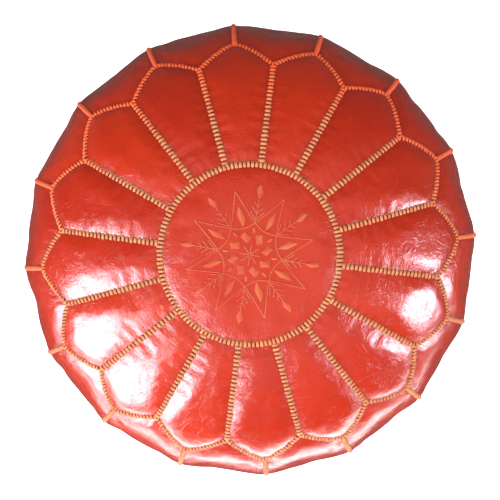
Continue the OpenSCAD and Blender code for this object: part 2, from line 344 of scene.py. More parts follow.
@cached
def wadding_fluff():
    """Off-white textile wadding with coloured fibres."""
    p = Paint("wadding")
    fibres = p.noise(1, 5, 0.75, p.scaled(p.place, 160, 90, 240), 2.0)
    shade = p.mix(p.spread(fibres, 0.3, 0.7), (0.42, 0.38, 0.32), (0.78, 0.76, 0.70))
    return p.finish(Base_Color=shade, Roughness=0.95, Normal=p.bump(fibres, 3 * MM, 0.8))


@cached
def zip_metal():
    """Worn brass with fine scratches."""
    p = Paint("zip_metal")
    scratches = p.noise(1, 3, 0.7, p.scaled(p.place, 300, 2400, 2400))
    tarnish = p.spread(p.noise(240, 4, 0.6), 0.4, 0.7)
    shade = p.mix(tarnish * 0.6, (0.72, 0.52, 0.24), (0.40, 0.26, 0.12))
    return p.finish(Base_Color=shade, Metallic=1.0, Roughness=0.22 + tarnish * 0.2 + scratches * 0.1,
                    Normal=p.bump(scratches, 0.03 * MM, 0.5))


@cached
def coil_plastic():
    """Dark dyed nylon of the zip coils."""
    p = Paint("zip_coil")
    scuffs = p.noise(700, 3, 0.6)
    shade = p.mix(p.spread(scuffs, 0.4, 0.75), (0.060, 0.014, 0.008), (0.14, 0.040, 0.022))
    return p.finish(Base_Color=shade, Roughness=0.30 + scuffs * 0.2, Normal=p.bump(scuffs, 0.05 * MM, 0.5))


@cached
def floor_paint():
    p = Paint("studio_floor")
    cloudy = p.noise(1.5, 2, 0.5)
    shade = p.mix(cloudy * 0.06, tuple(bpy.context.scene.pouf_stage.floor), (0.88, 0.88, 0.88))
    return p.finish(Base_Color=shade, Roughness=0.9, Specular_IOR_Level=0.1, Emission_Color=shade,
                    Emission_Strength=0.6)


# ---- The cover's surface ----
class Cover:
    """The round surface that the seams lie on: a meridian from the top centre to the foot."""

    SAMPLES = 1441

    def __init__(self):
        c = bpy.context.scene.pouf_cover
        turn = np.linspace(0, math.pi, self.SAMPLES)
        sine, cosine = np.sin(turn).clip(0), np.abs(np.cos(turn))
        upper = turn <= math.pi / 2
        self.r = np.where(upper, WAIST_R * sine ** (2 / c.top_power),
                          c.foot_radius + (WAIST_R - c.foot_radius) * sine ** (2 / c.foot_power))
        self.z = np.where(upper, c.waist_height + (TOP_H - c.waist_height) * cosine ** (2 / c.top_power),
                          c.waist_height * (1 - cosine ** (2 / c.foot_power)))
        steps = np.hypot(np.diff(self.r), np.diff(self.z))
        self.s = np.concatenate([[0], np.cumsum(steps)])
        dr, dz = np.gradient(self.r, self.s), np.gradient(self.z, self.s)
        size = np.hypot(dr, dz)
        self.nr, self.nz = -dz / size, dr / size
        self.nr[0], self.nz[0] = 0.0, 1.0
        self.upper = upper

    def along_at_radius(self, r):
        """Distance along the meridian, on the upper part, at a radius."""
        return np.interp(r, self.r[self.upper], self.s[self.upper])

    def along_at_foot_height(self, z):
        lower = ~self.upper
        return np.interp(-z, -self.z[lower], self.s[lower])

    def meridian(self, s):
        return [np.interp(s, self.s, v) for v in (self.r, self.z, self.nr, self.nz)]

    def point(self, s, angle, lift=0.0, narrowing=1.0):
        """Point at a distance along the meridian and an angle, lifted off the surface."""
        r, z, nr, nz = self.meridian(s)
        out = r * narrowing + nr * lift
        return np.stack([out * np.cos(angle), out * np.sin(angle), z + nz * lift], axis=-1)

    def narrowing(self, s, angle):
        """Share of the round radius that is left where the leather is drawn flat between two side seams."""
        start, end = self.petal_edge(angle), self.along_at_foot_height(BASE_SEAM_H)
        part = (s - start) / (end - start)
        from_middle = np.mod(angle, 2 * HALF_STEP) - HALF_STEP
        flat = smooth(part / 0.22) * (1 - 0.5 * smooth((part - 0.8) / 0.2))
        return 1 - flat * (1 - math.cos(HALF_STEP) / np.cos(from_middle))

    def up(self, s, angle):
        _, _, nr, nz = self.meridian(s)
        return np.stack([nr * np.cos(angle), nr * np.sin(angle), nz * np.ones_like(angle)], axis=-1)

    def petal_edge(self, angle):
        """Distance along the meridian to the petals' zigzag edge, at each angle."""
        step = 2 * HALF_STEP
        from_tip = np.abs((np.asarray(angle) + HALF_STEP) % step - HALF_STEP)
        rounded = np.minimum(np.hypot(from_tip, 0.07 * HALF_STEP), HALF_STEP)
        peak = TIP_R + 1.6 * MM  # rounding the petals' points lowers them to their own radius
        r = peak * NOTCH_R * math.sin(HALF_STEP) / (
            peak * np.sin(rounded) + NOTCH_R * np.sin(HALF_STEP - rounded))
        r = r + 2.4 * MM * np.sin(math.pi * from_tip / HALF_STEP)
        return self.along_at_radius(r)


def eased(x):
    """0 to 1, steep at first and level at the end."""
    return 1 - (1 - np.clip(x, 0, 1)) ** 2


def smooth(x):
    x = np.clip(x, 0, 1)
    return x * x * (3 - 2 * x)


def rising(near, reach):
    """0 at a seam, rising evenly to 1 at reach from it."""
    return np.clip(near / reach, 0, 1)


def ripple(rng, place, waves, longest, shortest):
    """Sum of sines along place, in metres, with random phases: about -1 to 1."""
    total = np.zeros_like(place)
    for _ in range(waves):
        wave_length = rng.uniform(shortest, longest)
        total += np.sin(2 * math.pi * (place / wave_length + rng.random()))
    return total / math.sqrt(waves)


def dimples(rng, x, y):
    """Soft unevenness over a panel's own two directions, in metres: about -1 to 1."""
    total = np.zeros(np.broadcast(x, y).shape)
    for _ in range(5):
        heading, wave_length = rng.uniform(0, math.pi), rng.uniform(0.045, 0.10)
        along = x * math.cos(heading) + y * math.sin(heading)
        total += np.sin(2 * math.pi * (along / wave_length + rng.random()))
    return total / math.sqrt(5)


CREASE_START = 0.004  # creases reach their full depth this far from a seam


class Panel:
    """One piece of leather as a grid of points, with the distances to its seams."""

    def __init__(self, name, node, points, side_near, end_near, pattern, tone, outward):
        self.name, self.node, self.points = name, node, points
        self.side_near, self.end_near, self.pattern, self.tone = side_near, end_near, pattern, tone
        facing = np.cross(points[2, 2] - points[1, 2], points[1, 3] - points[1, 2])
        if np.dot(facing, outward) < 0:
            for key in ("points", "side_near", "end_near", "pattern"):
                setattr(self, key, getattr(self, key)[:, ::-1])

    def normals(self):
        rows = np.gradient(self.points, axis=0)
        columns = np.gradient(self.points, axis=1)
        n = np.cross(rows, columns)
        return n / np.maximum(np.linalg.norm(n, axis=-1, keepdims=True), 1e-12)

    def area(self):
        p = self.points
        a, b = p[1:, 1:] - p[:-1, :-1], p[1:, :-1] - p[:-1, 1:]
        return float(np.linalg.norm(np.cross(a, b), axis=-1).sum() / 2)


def petal_panels(cover, rng):
    c = bpy.context.scene.pouf_cover
    panels = []
    start = cover.along_at_radius(RING_R)
    columns = 2 * round(TIP_R * HALF_STEP / c.grid)
    rows = round((cover.along_at_radius(TIP_R) - start) / c.grid)
    for i, node in enumerate(PETALS):
        local = np.linspace(-HALF_STEP, HALF_STEP, columns + 1)
        angle = (2 * i * HALF_STEP + local)[None, :]
        end = cover.petal_edge(angle)
        part = np.linspace(0, 1, rows + 1)[:, None]
        s = start + part * (end - start)
        r = cover.meridian(s)[0]
        across = r * np.sin(HALF_STEP - np.abs(local))[None, :]
        half_width = r * math.sin(HALF_STEP)
        nearest_end = np.minimum(s - start, (end - s) * 0.85)
        puff = c.petal_puff * (half_width / (TIP_R * math.sin(HALF_STEP))) ** 0.6
        lift = puff * eased(across / np.minimum(half_width, 0.019)) * eased(nearest_end / 0.022)
        crease = ripple(rng, s + 0 * across, 5, 17 * MM, 9 * MM) * np.exp(-across / 0.009)
        crease += ripple(rng, r * local[None, :], 5, 15 * MM, 8 * MM) * np.exp(-nearest_end / 0.008)
        nearest = np.minimum(across, nearest_end)
        taper = rising(nearest, CREASE_START)
        free = rising(nearest, 0.02)
        lift = lift - c.seam_sink + 0.28 * MM * crease * taper
        lift = lift + 0.55 * MM * dimples(rng, r * local[None, :], s) * free
        points = cover.point(s, angle, lift)
        pattern = np.stack([r * local[None, :] + i * 0.37, s + 0 * angle], axis=-1)
        mid = np.array([math.cos(2 * i * HALF_STEP), math.sin(2 * i * HALF_STEP), 1.0])
        panels.append(Panel(f"petal_leather_{i + 1:02d}", node, points, across + 0 * s,
                            nearest_end + 0 * across, pattern, rng.random(), mid))
    return panels


def side_panels(cover, rng):
    c = bpy.context.scene.pouf_cover
    panels = []
    finish_s = float(cover.along_at_foot_height(BASE_SEAM_H))
    columns = 2 * round(WAIST_R * HALF_STEP / c.grid)
    rows = round((finish_s - cover.along_at_radius(TIP_R)) / c.grid)
    for i, node in enumerate(SIDES):
        local = np.linspace(-HALF_STEP, HALF_STEP, columns + 1)
        middle = (2 * i + 1) * HALF_STEP
        angle = (middle + local)[None, :]
        start = cover.petal_edge(angle)
        part = np.linspace(0, 1, rows + 1)[:, None]
        s = start + part * (finish_s - start)
        r = cover.meridian(s)[0]
        across = r * np.sin(HALF_STEP - np.abs(local))[None, :]
        half_width = r * math.sin(HALF_STEP)
        nearest_end = np.minimum((s - start) * 0.85, finish_s - s)
        puff = c.side_puff * eased(across / half_width) * eased(nearest_end / 0.03)
        crease = ripple(rng, s + 0 * across, 6, 22 * MM, 10 * MM) * np.exp(-across / 0.011)
        crease += ripple(rng, r * local[None, :], 5, 16 * MM, 9 * MM) * np.exp(-nearest_end / 0.010)
        nearest = np.minimum(across, nearest_end)
        taper = rising(nearest, CREASE_START)
        free = rising(nearest, 0.03)
        sink = c.seam_sink * (1 - smooth(part / 0.08)) + 0.5 * MM * smooth(part / 0.08)
        lift = puff - sink + 0.2 * MM * crease * taper
        lift = lift + 0.25 * MM * dimples(rng, r * local[None, :], s) * free
        points = cover.point(s, angle, lift, cover.narrowing(s, angle))
        pattern = np.stack([r * local[None, :] + i * 0.41 + 9, s + 0 * angle], axis=-1)
        mid = np.array([math.cos(middle), math.sin(middle), 0.2])
        panels.append(Panel(f"side_leather_{i + 1:02d}", node, points, across + 0 * s,
                            nearest_end + 0 * across, pattern, rng.random(), mid))
    return panels


def patch(bottom, right, top, left, rows, columns):
    """Plan grid that fills four edges, each a function of 0 to 1; bottom and top run the same way."""
    u, v = np.linspace(0, 1, columns + 1), np.linspace(0, 1, rows + 1)
    b, t = (np.array([edge(x) for x in u])[None] for edge in (bottom, top))
    le, ri = (np.array([edge(x) for x in v])[:, None] for edge in (left, right))
    uu, vv = u[None, :, None], v[:, None, None]
    corners = ((1 - uu) * (1 - vv) * b[:, :1] + uu * (1 - vv) * b[:, -1:]
               + (1 - uu) * vv * t[:, :1] + uu * vv * t[:, -1:])
    return (1 - vv) * b + vv * t + (1 - uu) * le + uu * ri - corners


def arc(radius, start, end):
    """Edge function along a circle, with its angles in degrees."""
    def at(x):
        a = math.radians(start + (end - start) * x)
        return radius * math.cos(a), radius * math.sin(a)
    return at


def medallion_panel(cover, rng):
    c = bpy.context.scene.pouf_cover
    count = 2 * round(RING_R * 0.85 / c.grid)
    plan = patch(arc(RING_R, 225, 315), arc(RING_R, 315, 405), arc(RING_R, 135, 45), arc(RING_R, 225, 135),
                 count, count)
    r = np.linalg.norm(plan, axis=-1)
    angle = np.arctan2(plan[..., 1], plan[..., 0])
    near = np.maximum(RING_R - r, 0)
    crease = ripple(rng, angle * RING_R, 7, 17 * MM, 8 * MM) * np.exp(-near / 0.008)
    taper = rising(near, CREASE_START)
    lift = c.medallion_puff * eased(near / 0.010) - c.seam_sink + 0.28 * MM * crease * taper
    lift = lift + 0.4 * MM * dimples(rng, plan[..., 0], plan[..., 1]) * rising(near, 0.02)
    s = cover.along_at_radius(r)
    points = cover.point(s, angle, lift)
    pattern = np.stack([angle * RING_R + 20, r], axis=-1)
    return Panel("medallion_leather", "medallion", points, near, near, pattern, 0.55, np.array([0, 0, 1.0]))


# ---- Base with its zip channel ----
CHANNEL_ROOF = TAPE_BOX[0][2] - 2 * MM  # outer face of the leather beside the zip
CHANNEL_SIDE = 15.4 * MM                # half width of the roof
CHANNEL_END = 165.4 * MM
CHANNEL_SLOPE = 11 * MM
SLOT_HALF = 8 * MM
SLOT_END = TAPE_BOX[1][0] - 4 * MM
CREASED_RIM = 0.196  # the base has creases only outside this radius


def base_height(cover, x, y):
    """Outer face of the base: flat, turned up at the rim, and folded up into the zip channel."""
    c = bpy.context.scene.pouf_cover
    r = np.hypot(x, y)
    lower = ~cover.upper
    rim = np.interp(r, cover.r[lower][::-1], cover.z[lower][::-1], left=0.0)
    rim = np.where(r > c.foot_radius, rim, 0.0)
    out = np.hypot(np.maximum(np.abs(x) - CHANNEL_END, 0), np.maximum(np.abs(y) - CHANNEL_SIDE, 0))
    return rim + CHANNEL_ROOF * (1 - smooth(out / CHANNEL_SLOPE))


def base_panel(cover, rng, side):
    """Half disc on one side of the zip."""
    seam_r = float(cover.meridian(cover.along_at_foot_height(BASE_SEAM_H))[0])

    def zip_edge(x):
        place = seam_r * (2 * x - 1)
        opening = 1 - smooth((abs(place) - SLOT_END) / (6 * MM))
        return place, side * SLOT_HALF * opening

    start = 180
    turn = 180 if side < 0 else -180  # the arc goes round from -X to +X
    quarter = arc(seam_r, start, start + turn * 0.25)
    middle = arc(seam_r, start + turn * 0.25, start + turn * 0.75)
    last = arc(seam_r, start + turn, start + turn * 0.75)
    plan = patch(zip_edge, last, middle, quarter, rows=44, columns=100)
    x, y = plan[..., 0], plan[..., 1]
    r = np.hypot(x, y)
    near_rim = np.maximum(seam_r - r, 0)
    near_zip = np.abs(y) - SLOT_HALF * (np.abs(x) < SLOT_END)
    crease = ripple(rng, np.arctan2(y, x) * seam_r, 7, 24 * MM, 12 * MM) * np.exp(-near_rim / 0.012)
    crease = crease * rising(near_rim, CREASE_START) * (r > CREASED_RIM)
    z = np.maximum(base_height(cover, x, y) + 0.3 * MM * crease, 0.0)
    points = np.stack([x, y, z], axis=-1)
    name = "front" if side < 0 else "back"
    pattern = np.stack([x + 30 * side, y], axis=-1)
    return Panel(f"base_leather_{name}", f"base_{name}", points, np.abs(near_zip) + 0.002, near_rim, pattern,
                 0.3, np.array([0, 0, -1.0]))


# ---- Settling the leather by cloth simulation ----
def settle(panels, frames, cap, pressure, spare):
    """Lets pressure from inside and a little spare leather settle the panels between their pinned seams."""
    sizes = [p.points.shape[:2] for p in panels]
    starts = np.cumsum([0] + [a * b for a, b in sizes])
    points = np.concatenate([p.points.reshape(-1, 3) for p in panels])
    faces, pins = [], []
    for (rows, columns), start in zip(sizes, starts[:-1], strict=True):
        index = start + np.arange(rows * columns).reshape(rows, columns)
        faces.append(grid_faces(index))
        inner = np.zeros((rows, columns), bool)
        inner[1:-1, 1:-1] = True
        pins.append(index[~inner])
    mesh = bpy.data.meshes.new("settling")
    mesh.from_pydata(points.tolist(), [], np.concatenate(faces).tolist())
    obj = bpy.data.objects.new("settling", mesh)
    bpy.context.collection.objects.link(obj)
    obj.vertex_groups.new(name="seams").add(np.concatenate(pins).tolist(), 1.0, "REPLACE")
    cloth = obj.modifiers.new("Cloth", "CLOTH")
    wanted = {"quality": 5, "mass": 0.4, "tension_stiffness": 30, "compression_stiffness": 30,
              "shear_stiffness": 12, "bending_stiffness": 1.5, "use_pressure": True,
              "uniform_pressure_force": pressure, "vertex_group_mass": "seams", "shrink_min": -spare,
              "tension_damping": 15, "compression_damping": 15, "air_damping": 3}
    for key, value in wanted.items():
        setattr(cloth.settings, key, value)
    cloth.settings.effector_weights.gravity = 0
    cloth.collision_settings.use_collision = False
    cloth.point_cache.frame_start, cloth.point_cache.frame_end = 1, frames
    scene = bpy.context.scene
    for number in range(1, frames + 1):
        scene.frame_set(number)
    settled = obj.evaluated_get(bpy.context.evaluated_depsgraph_get())
    moved = np.empty(len(points) * 3)
    settled.data.vertices.foreach_get("co", moved)
    moved = moved.reshape(-1, 3) - points
    scene.frame_set(1)
    bpy.data.objects.remove(obj)
    far = np.linalg.norm(moved, axis=1, keepdims=True)
    points = points + moved * np.minimum(1, cap / np.maximum(far, 1e-9))
    for p, start, (rows, columns) in zip(panels, starts[:-1], sizes, strict=True):
        p.points = points[start:start + rows * columns].reshape(rows, columns, 3)


# ---- Meshes ----
def grid_faces(index):
    """Quads over a grid of vertex numbers, facing along rows crossed with columns."""
    return np.stack([index[:-1, :-1], index[1:, :-1], index[1:, 1:], index[:-1, 1:]], axis=-1).reshape(-1, 4)


def new_object(name, mesh, material):
    obj = bpy.data.objects.new(name, mesh)
    bpy.context.collection.objects.link(obj)
    if material is not None:
        mesh.materials.clear()
        mesh.materials.append(material)
    mesh.shade_smooth()
    return obj


def leather_object(panel, material):
    """Panel's mesh with its edges turned in, its thickness and one subdivision."""
    c = bpy.context.scene.pouf_cover
    normals = panel.normals()
    inward = np.gradient(panel.points, axis=0), np.gradient(panel.points, axis=1)
    points = np.pad(panel.points, ((1, 1), (1, 1), (0, 0)), mode="edge")
    down = np.pad(normals, ((1, 1), (1, 1), (0, 0)), mode="edge")
    tuck = np.zeros_like(points)
    for axis, steps in enumerate(inward):
        steps = steps / np.maximum(np.linalg.norm(steps, axis=-1, keepdims=True), 1e-12)
        steps = np.pad(steps, ((1, 1), (1, 1), (0, 0)), mode="edge")
        first, last = [slice(None)] * 2, [slice(None)] * 2
        first[axis], last[axis] = 0, -1
        tuck[tuple(first)] += steps[tuple(first)]
        tuck[tuple(last)] -= steps[tuple(last)]
    edge = np.ones(points.shape[:2], bool)
    edge[1:-1, 1:-1] = False
    points[edge] += -down[edge] * c.lip + tuck[edge] * 0.5 * MM
    shape = points.shape[:2]
    index = np.arange(shape[0] * shape[1]).reshape(shape)
    mesh = bpy.data.meshes.new(panel.name)
    mesh.from_pydata(points.reshape(-1, 3).tolist(), [], grid_faces(index).tolist())
    for key in ("side_near", "end_near"):
        values = np.where(edge, 0.0, np.pad(getattr(panel, key), ((1, 1), (1, 1)), mode="edge"))
        mesh.attributes.new(key, "FLOAT", "POINT").data.foreach_set("value", values.ravel())
    tones = np.full(points.size // 3, panel.tone)
    mesh.attributes.new("tone", "FLOAT", "POINT").data.foreach_set("value", tones)
    pattern = np.pad(panel.pattern, ((1, 1), (1, 1), (0, 0)), mode="edge").reshape(-1, 2)
    layer = mesh.uv_layers.new(name="Panel")
    loops = np.empty(len(mesh.loops), int)
    mesh.loops.foreach_get("vertex_index", loops)
    layer.data.foreach_set("uv", pattern[loops].ravel())
    obj = new_object(panel.name, mesh, material)
    wall = obj.modifiers.new("Thickness", "SOLIDIFY")
    wall.thickness, wall.offset = c.leather, -1
    fine = obj.modifiers.new("Smooth", "SUBSURF")
    fine.levels = fine.render_levels = 1
    return obj


def declare_leather(obj, panel):
    c = bpy.context.scene.pouf_cover
    p = panel.points
    wide = float(np.linalg.norm(np.diff(p, axis=1), axis=-1).sum(1).max()) + 2 * c.lip
    long = float(np.linalg.norm(np.diff(p, axis=0), axis=-1).sum(0).max()) + 2 * c.lip
    rim = 2 * (wide + long)
    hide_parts(panel.node)
    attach(obj, "root")
    round(panel.area() + rim * c.lip * 0.8, 5)


# ---- Stitches ----
def inputs_of(tree):
    """Socket identifiers of a node group's inputs, by name."""
    sockets = [i for i in tree.interface.items_tree if i.item_type == "SOCKET"]
    return {i.name: i.identifier for i in sockets if i.in_out == "INPUT"}


def add_inputs(tree, wanted):
    for name, kind in wanted:
        tree.interface.new_socket(name, in_out="INPUT", socket_type=f"NodeSocket{kind}")
    tree.interface.new_socket("Geometry", in_out="OUTPUT", socket_type="NodeSocketGeometry")


@cached
def stitch_row_nodes():
    """Stitches along paths: each stands on the path's own up direction and lies across it."""
    group = bpy.data.node_groups.new("Stitch row", "GeometryNodeTree")
    add_inputs(group, [("Paths", "Geometry"), ("Pitch", "Float"), ("Stitch", "Object"), ("Slant", "Float"),
                       ("Unevenness", "Float"), ("Seed", "Int"), ("Thread", "Material")])
    t = Tree(group)
    given = t.node("NodeGroupInput")
    socket = {s.name: Value(t, s) for s in given.outputs if s.name}
    curve = t.value("GeometryNodeMeshToCurve", None, {0: socket["Paths"]})
    even = t.value("GeometryNodeResampleCurve", {"mode": "LENGTH"},
                   {"Curve": curve, "Length": socket["Pitch"]})
    tangent = t.value("GeometryNodeInputTangent")
    up = t.value("GeometryNodeInputNamedAttribute", {"data_type": "FLOAT_VECTOR"}, {"Name": "up"})
    facing = t.value("FunctionNodeAlignRotationToVector", {"axis": "X"}, {"Vector": tangent})
    facing = t.value("FunctionNodeAlignRotationToVector", {"axis": "Z", "pivot_axis": "X"},
                     {"Rotation": facing, "Vector": up})

    def wander(offset, low, high):
        seed = socket["Seed"] + offset
        return t.value("FunctionNodeRandomValue", {"data_type": "FLOAT"},
                       {2: low, 3: high, 8: seed}, output=1)

    twist = wander(1, -1.0, 1.0) * socket["Unevenness"] * 0.5 + socket["Slant"]
    lean = wander(2, -1.0, 1.0) * socket["Unevenness"] * 0.6
    turn = t.value("ShaderNodeCombineXYZ", None, {0: lean, 2: twist})
    turn = t.value("FunctionNodeEulerToRotation", None, {0: turn})
    facing = t.value("FunctionNodeRotateRotation", {"rotation_space": "LOCAL"}, {0: facing, 1: turn})
    size = t.value("ShaderNodeCombineXYZ", None,
                   {0: 1 + wander(3, -1.0, 1.0) * socket["Unevenness"] * 0.5,
                    1: 1 + wander(4, -1.0, 1.0) * socket["Unevenness"] * 0.6,
                    2: 1 + wander(5, -1.0, 1.0) * socket["Unevenness"]})
    stitch = t.value("GeometryNodeObjectInfo", {"transform_space": "ORIGINAL"}, {"Object": socket["Stitch"]},
                     output="Geometry")
    placed = t.value("GeometryNodeInstanceOnPoints", None,
                     {"Points": even, "Instance": stitch, "Rotation": facing, "Scale": size})
    toned = t.value("GeometryNodeStoreNamedAttribute", {"data_type": "FLOAT", "domain": "INSTANCE"},
                    {"Geometry": placed, "Name": "tone", "Value": wander(6, 0.0, 1.0)})
    real = t.value("GeometryNodeRealizeInstances", None, {0: toned})
    done = t.value("GeometryNodeSetMaterial", None, {"Geometry": real, "Material": socket["Thread"]})
    t.node("NodeGroupOutput", None, {0: done})
    return group


@cached
def thread_nodes():
    """Round threads along paths."""
    group = bpy.data.node_groups.new("Threads", "GeometryNodeTree")
    add_inputs(group, [("Paths", "Geometry"), ("Radius", "Float"), ("Thread", "Material")])
    t = Tree(group)
    given = t.node("NodeGroupInput")
    socket = {s.name: Value(t, s) for s in given.outputs if s.name}
    curve = t.value("GeometryNodeMeshToCurve", None, {0: socket["Paths"]})
    ring = t.value("GeometryNodeCurvePrimitiveCircle", None, {"Resolution": 5, "Radius": socket["Radius"]})
    tube = t.value("GeometryNodeCurveToMesh", None,
                   {"Curve": curve, "Profile Curve": ring, "Fill Caps": True})
    real = t.value("GeometryNodeRealizeInstances", None, {0: tube})
    done = t.value("GeometryNodeSetMaterial", None, {"Geometry": real, "Material": socket["Thread"]})
    t.node("NodeGroupOutput", None, {0: done})
    return group


def path_mesh(paths):
    """Paths as one mesh of edges; each path is (points, ups, closed)."""
    points, ups, edges, start = [], [], [], 0
    for line, up, closed in paths:
        count = len(line)
        points.append(line)
        ups.append(up)
        edges += [(start + i, start + i + 1) for i in range(count - 1)]
        if closed:
            edges.append((start + count - 1, start))
        start += count
    mesh = bpy.data.meshes.new("paths")
    mesh.from_pydata(np.concatenate(points).tolist(), edges, [])
    stored = mesh.attributes.new("up", "FLOAT_VECTOR", "POINT")
    stored.data.foreach_set("vector", np.concatenate(ups).ravel())
    return mesh


def grown(name, group, paths, values):
    """What a node group makes of the paths, as a plain mesh object."""
    carrier = new_object(name + "_paths", path_mesh(paths), None)
    grower = carrier.modifiers.new("Grow", "NODES")
    grower.node_group = group
    known = inputs_of(group)
    for key, value in values.items():
        grower[known[key]] = value
    bpy.context.view_layer.update()
    result = carrier.evaluated_get(bpy.context.evaluated_depsgraph_get())
    mesh = bpy.data.meshes.new_from_object(result)
    mesh.name = name
    bpy.data.objects.remove(carrier)
    return new_object(name, mesh, None)


def stitch_mesh(name, long, wide, high, sides=8, rings=7, waist=0.14):
    """One plump stitch: it lies along Y over a seam, and its ends dip into the leather."""
    points, faces = [], []
    for i in range(rings):
        part = 2 * i / (rings - 1) - 1
        end = max(0.0, 1 - abs(part) ** 3.2)
        half_wide = wide / 2 * (0.72 + 0.28 * end) * (1 - waist * math.exp(-(part / 0.25) ** 2))
        half_high = high / 2 * (0.55 + 0.45 * end)
        middle = high * (0.62 * (1 - part * part) - 0.22)
        for k in range(sides):
            a = 2 * math.pi * k / sides
            points.append((half_wide * math.cos(a), long / 2 * part, middle + half_high * math.sin(a)))
    for i in range(rings - 1):
        for k in range(sides):
            a, b = i * sides + k, i * sides + (k + 1) % sides
            faces.append((a, a + sides, b + sides, b))
    faces.append(tuple(range(sides)))
    faces.append(tuple(reversed(range((rings - 1) * sides, rings * sides))))
    mesh = bpy.data.meshes.new(name)
    mesh.from_pydata(points, [], faces)
    mesh.shade_smooth()
    return mesh


def stitched(name, node, paths, stitch, pitch, material, slant=0.0, unevenness=0.14):
    """A row of stitches that stands for a design node."""
    pattern = bpy.data.objects.new(name + "_stitch", stitch)
    bpy.context.collection.objects.link(pattern)
    seed = bpy.context.scene.pouf_thread.seed + len(name)
    obj = grown(name, stitch_row_nodes(), paths,
                {"Pitch": pitch, "Stitch": pattern, "Slant": slant, "Unevenness": unevenness, "Seed": seed,
                 "Thread": material})
    bpy.data.objects.remove(pattern)
    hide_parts(node)
    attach(obj, "root")
    return obj


def cover_path(cover, s, angle, lift, closed=False):
    s, angle = np.broadcast_arrays(np.asarray(s, float), np.asarray(angle, float))
    return cover.point(s, angle, lift), cover.up(s, angle), closed


def facing_down(count):
    return np.tile([0, 0, -1.0], (count, 1))


# ---- Operators ----
class Build(bpy.types.Operator):
    """Shared by the operators that build pieces"""
    bl_options = {"REGISTER", "UNDO"}

    def execute(self, context):
        self.build(context)
        return {"FINISHED"}


class POUF_OT_cover(Build):
    """Builds the medallion, the petals and the side panels, and settles them over the stuffing"""
    bl_idname = "pouf.cover"
    bl_label = "Leather cover"

    def build(self, context):
        cover, rng = Cover(), np.random.default_rng(11)
        panels = petal_panels(cover, rng) + side_panels(cover, rng) + [medallion_panel(cover, rng)]
        settle(panels, frames=14, cap=3.0 * MM, pressure=1.2, spare=0.006)
        for panel in panels:
            declare_leather(leather_object(panel, cover_leather()), panel)


class POUF_OT_base(Build):
    """Builds the two halves of the leather base, folded up beside the zip"""
    bl_idname = "pouf.base"
    bl_label = "Leather base"

    def build(self, context):
        cover, rng = Cover(), np.random.default_rng(12)
        for side in (-1, 1):
            panel = base_panel(cover, rng, side)
            declare_leather(leather_object(panel, cover_leather()), panel)


class POUF_OT_seams(Build):
    """Sews the rows of thick stitches over the cover's seams"""
    bl_idname = "pouf.seams"
    bl_label = "Seam stitches"

    def build(self, context):
        cover = Cover()
        c = context.scene.pouf_cover
        lift = -c.seam_sink + 0.3 * MM
        thread = seam_thread()
        bar = stitch_mesh("bar", long=7.8 * MM, wide=3.7 * MM, high=2.7 * MM)
        ring_s = float(cover.along_at_radius(RING_R))
        round_angles = np.linspace(0, 2 * math.pi, 288, endpoint=False)
        stitched("medallion_ring_thread", "medallion_ring_stitches",
                 [cover_path(cover, ring_s, round_angles, lift, closed=True)], bar, 4.4 * MM, thread)
        half_bar = 4.6 * MM
        notch_s = float(cover.along_at_radius(NOTCH_R))
        radial_s = np.linspace(ring_s + half_bar, notch_s - 3 * MM, 40)
        radial = [cover_path(cover, radial_s, (2 * i + 1) * HALF_STEP, lift) for i in range(PANELS)]
        narrow = stitch_mesh("narrow_bar", long=7.4 * MM, wide=3.7 * MM, high=2.6 * MM)
        stitched("radial_thread", "radial_stitches", radial, narrow, 4.5 * MM, thread)
        edge = stitch_mesh("edge_bar", long=6.6 * MM, wide=3.5 * MM, high=2.5 * MM)
        corners = np.linspace(0, 2 * math.pi, 2 * PANELS * 12, endpoint=False)
        zigzag = cover_path(cover, cover.petal_edge(corners), corners, lift, closed=True)
        stitched("petal_edge_thread", "petal_edge_stitches", [zigzag], edge, 4.2 * MM, thread,
                 slant=math.radians(22))
        side_bar = stitch_mesh("side_bar", long=5.6 * MM, wide=2.5 * MM, high=1.7 * MM, rings=5)
        foot_s = float(cover.along_at_foot_height(BASE_SEAM_H))
        tip_s = float(cover.along_at_radius(TIP_R))
        side_s = np.linspace(tip_s - 1.2 * MM, foot_s - 4 * MM, 90)
        side = [cover_path(cover, side_s, 2 * i * HALF_STEP, -0.2 * MM) for i in range(PANELS)]
        stitched("side_seam_thread", "side_seam_stitches", side, side_bar, 2.9 * MM, thread,
                 slant=math.radians(12))
        stitched("base_ring_thread", "base_ring_stitches",
                 [cover_path(cover, foot_s, round_angles, 0.0, closed=True)], side_bar, 4.2 * MM, thread,
                 slant=math.radians(15))


# ---- Medallion embroidery, drawn in plan around the star's centre ----
STAR_TIP_R = 68.5 * MM
STAR_WAIST_R = 28.5 * MM
MOTIFS = 8


def turned(points, angle):
    c, s = math.cos(angle), math.sin(angle)
    return np.asarray(points) @ np.array([[c, s], [-s, c]])


def star_side():
    """One inward-bent side of a four-pointed star, from tip to tip."""
    half = STAR_TIP_R * math.sin(math.pi / 4)
    y = np.linspace(-half, half, 60)
    bend = 6 * MM
    return np.stack([STAR_WAIST_R + np.hypot(0.52 * y, bend) - bend, y], axis=-1)


def backstitches(line, long, gap):
    """A polyline cut into single stitches."""
    along = np.concatenate([[0], np.cumsum(np.linalg.norm(np.diff(line, axis=0), axis=1))])
    count = max(1, round(along[-1] / (long + gap)))
    starts = np.arange(count) * along[-1] / count
    spans = []
    for start in starts:
        ends = np.array([start, start + along[-1] / count - gap])
        spans.append(np.stack([np.interp(ends, along, line[:, k]) for k in range(2)], axis=-1))
    return spans


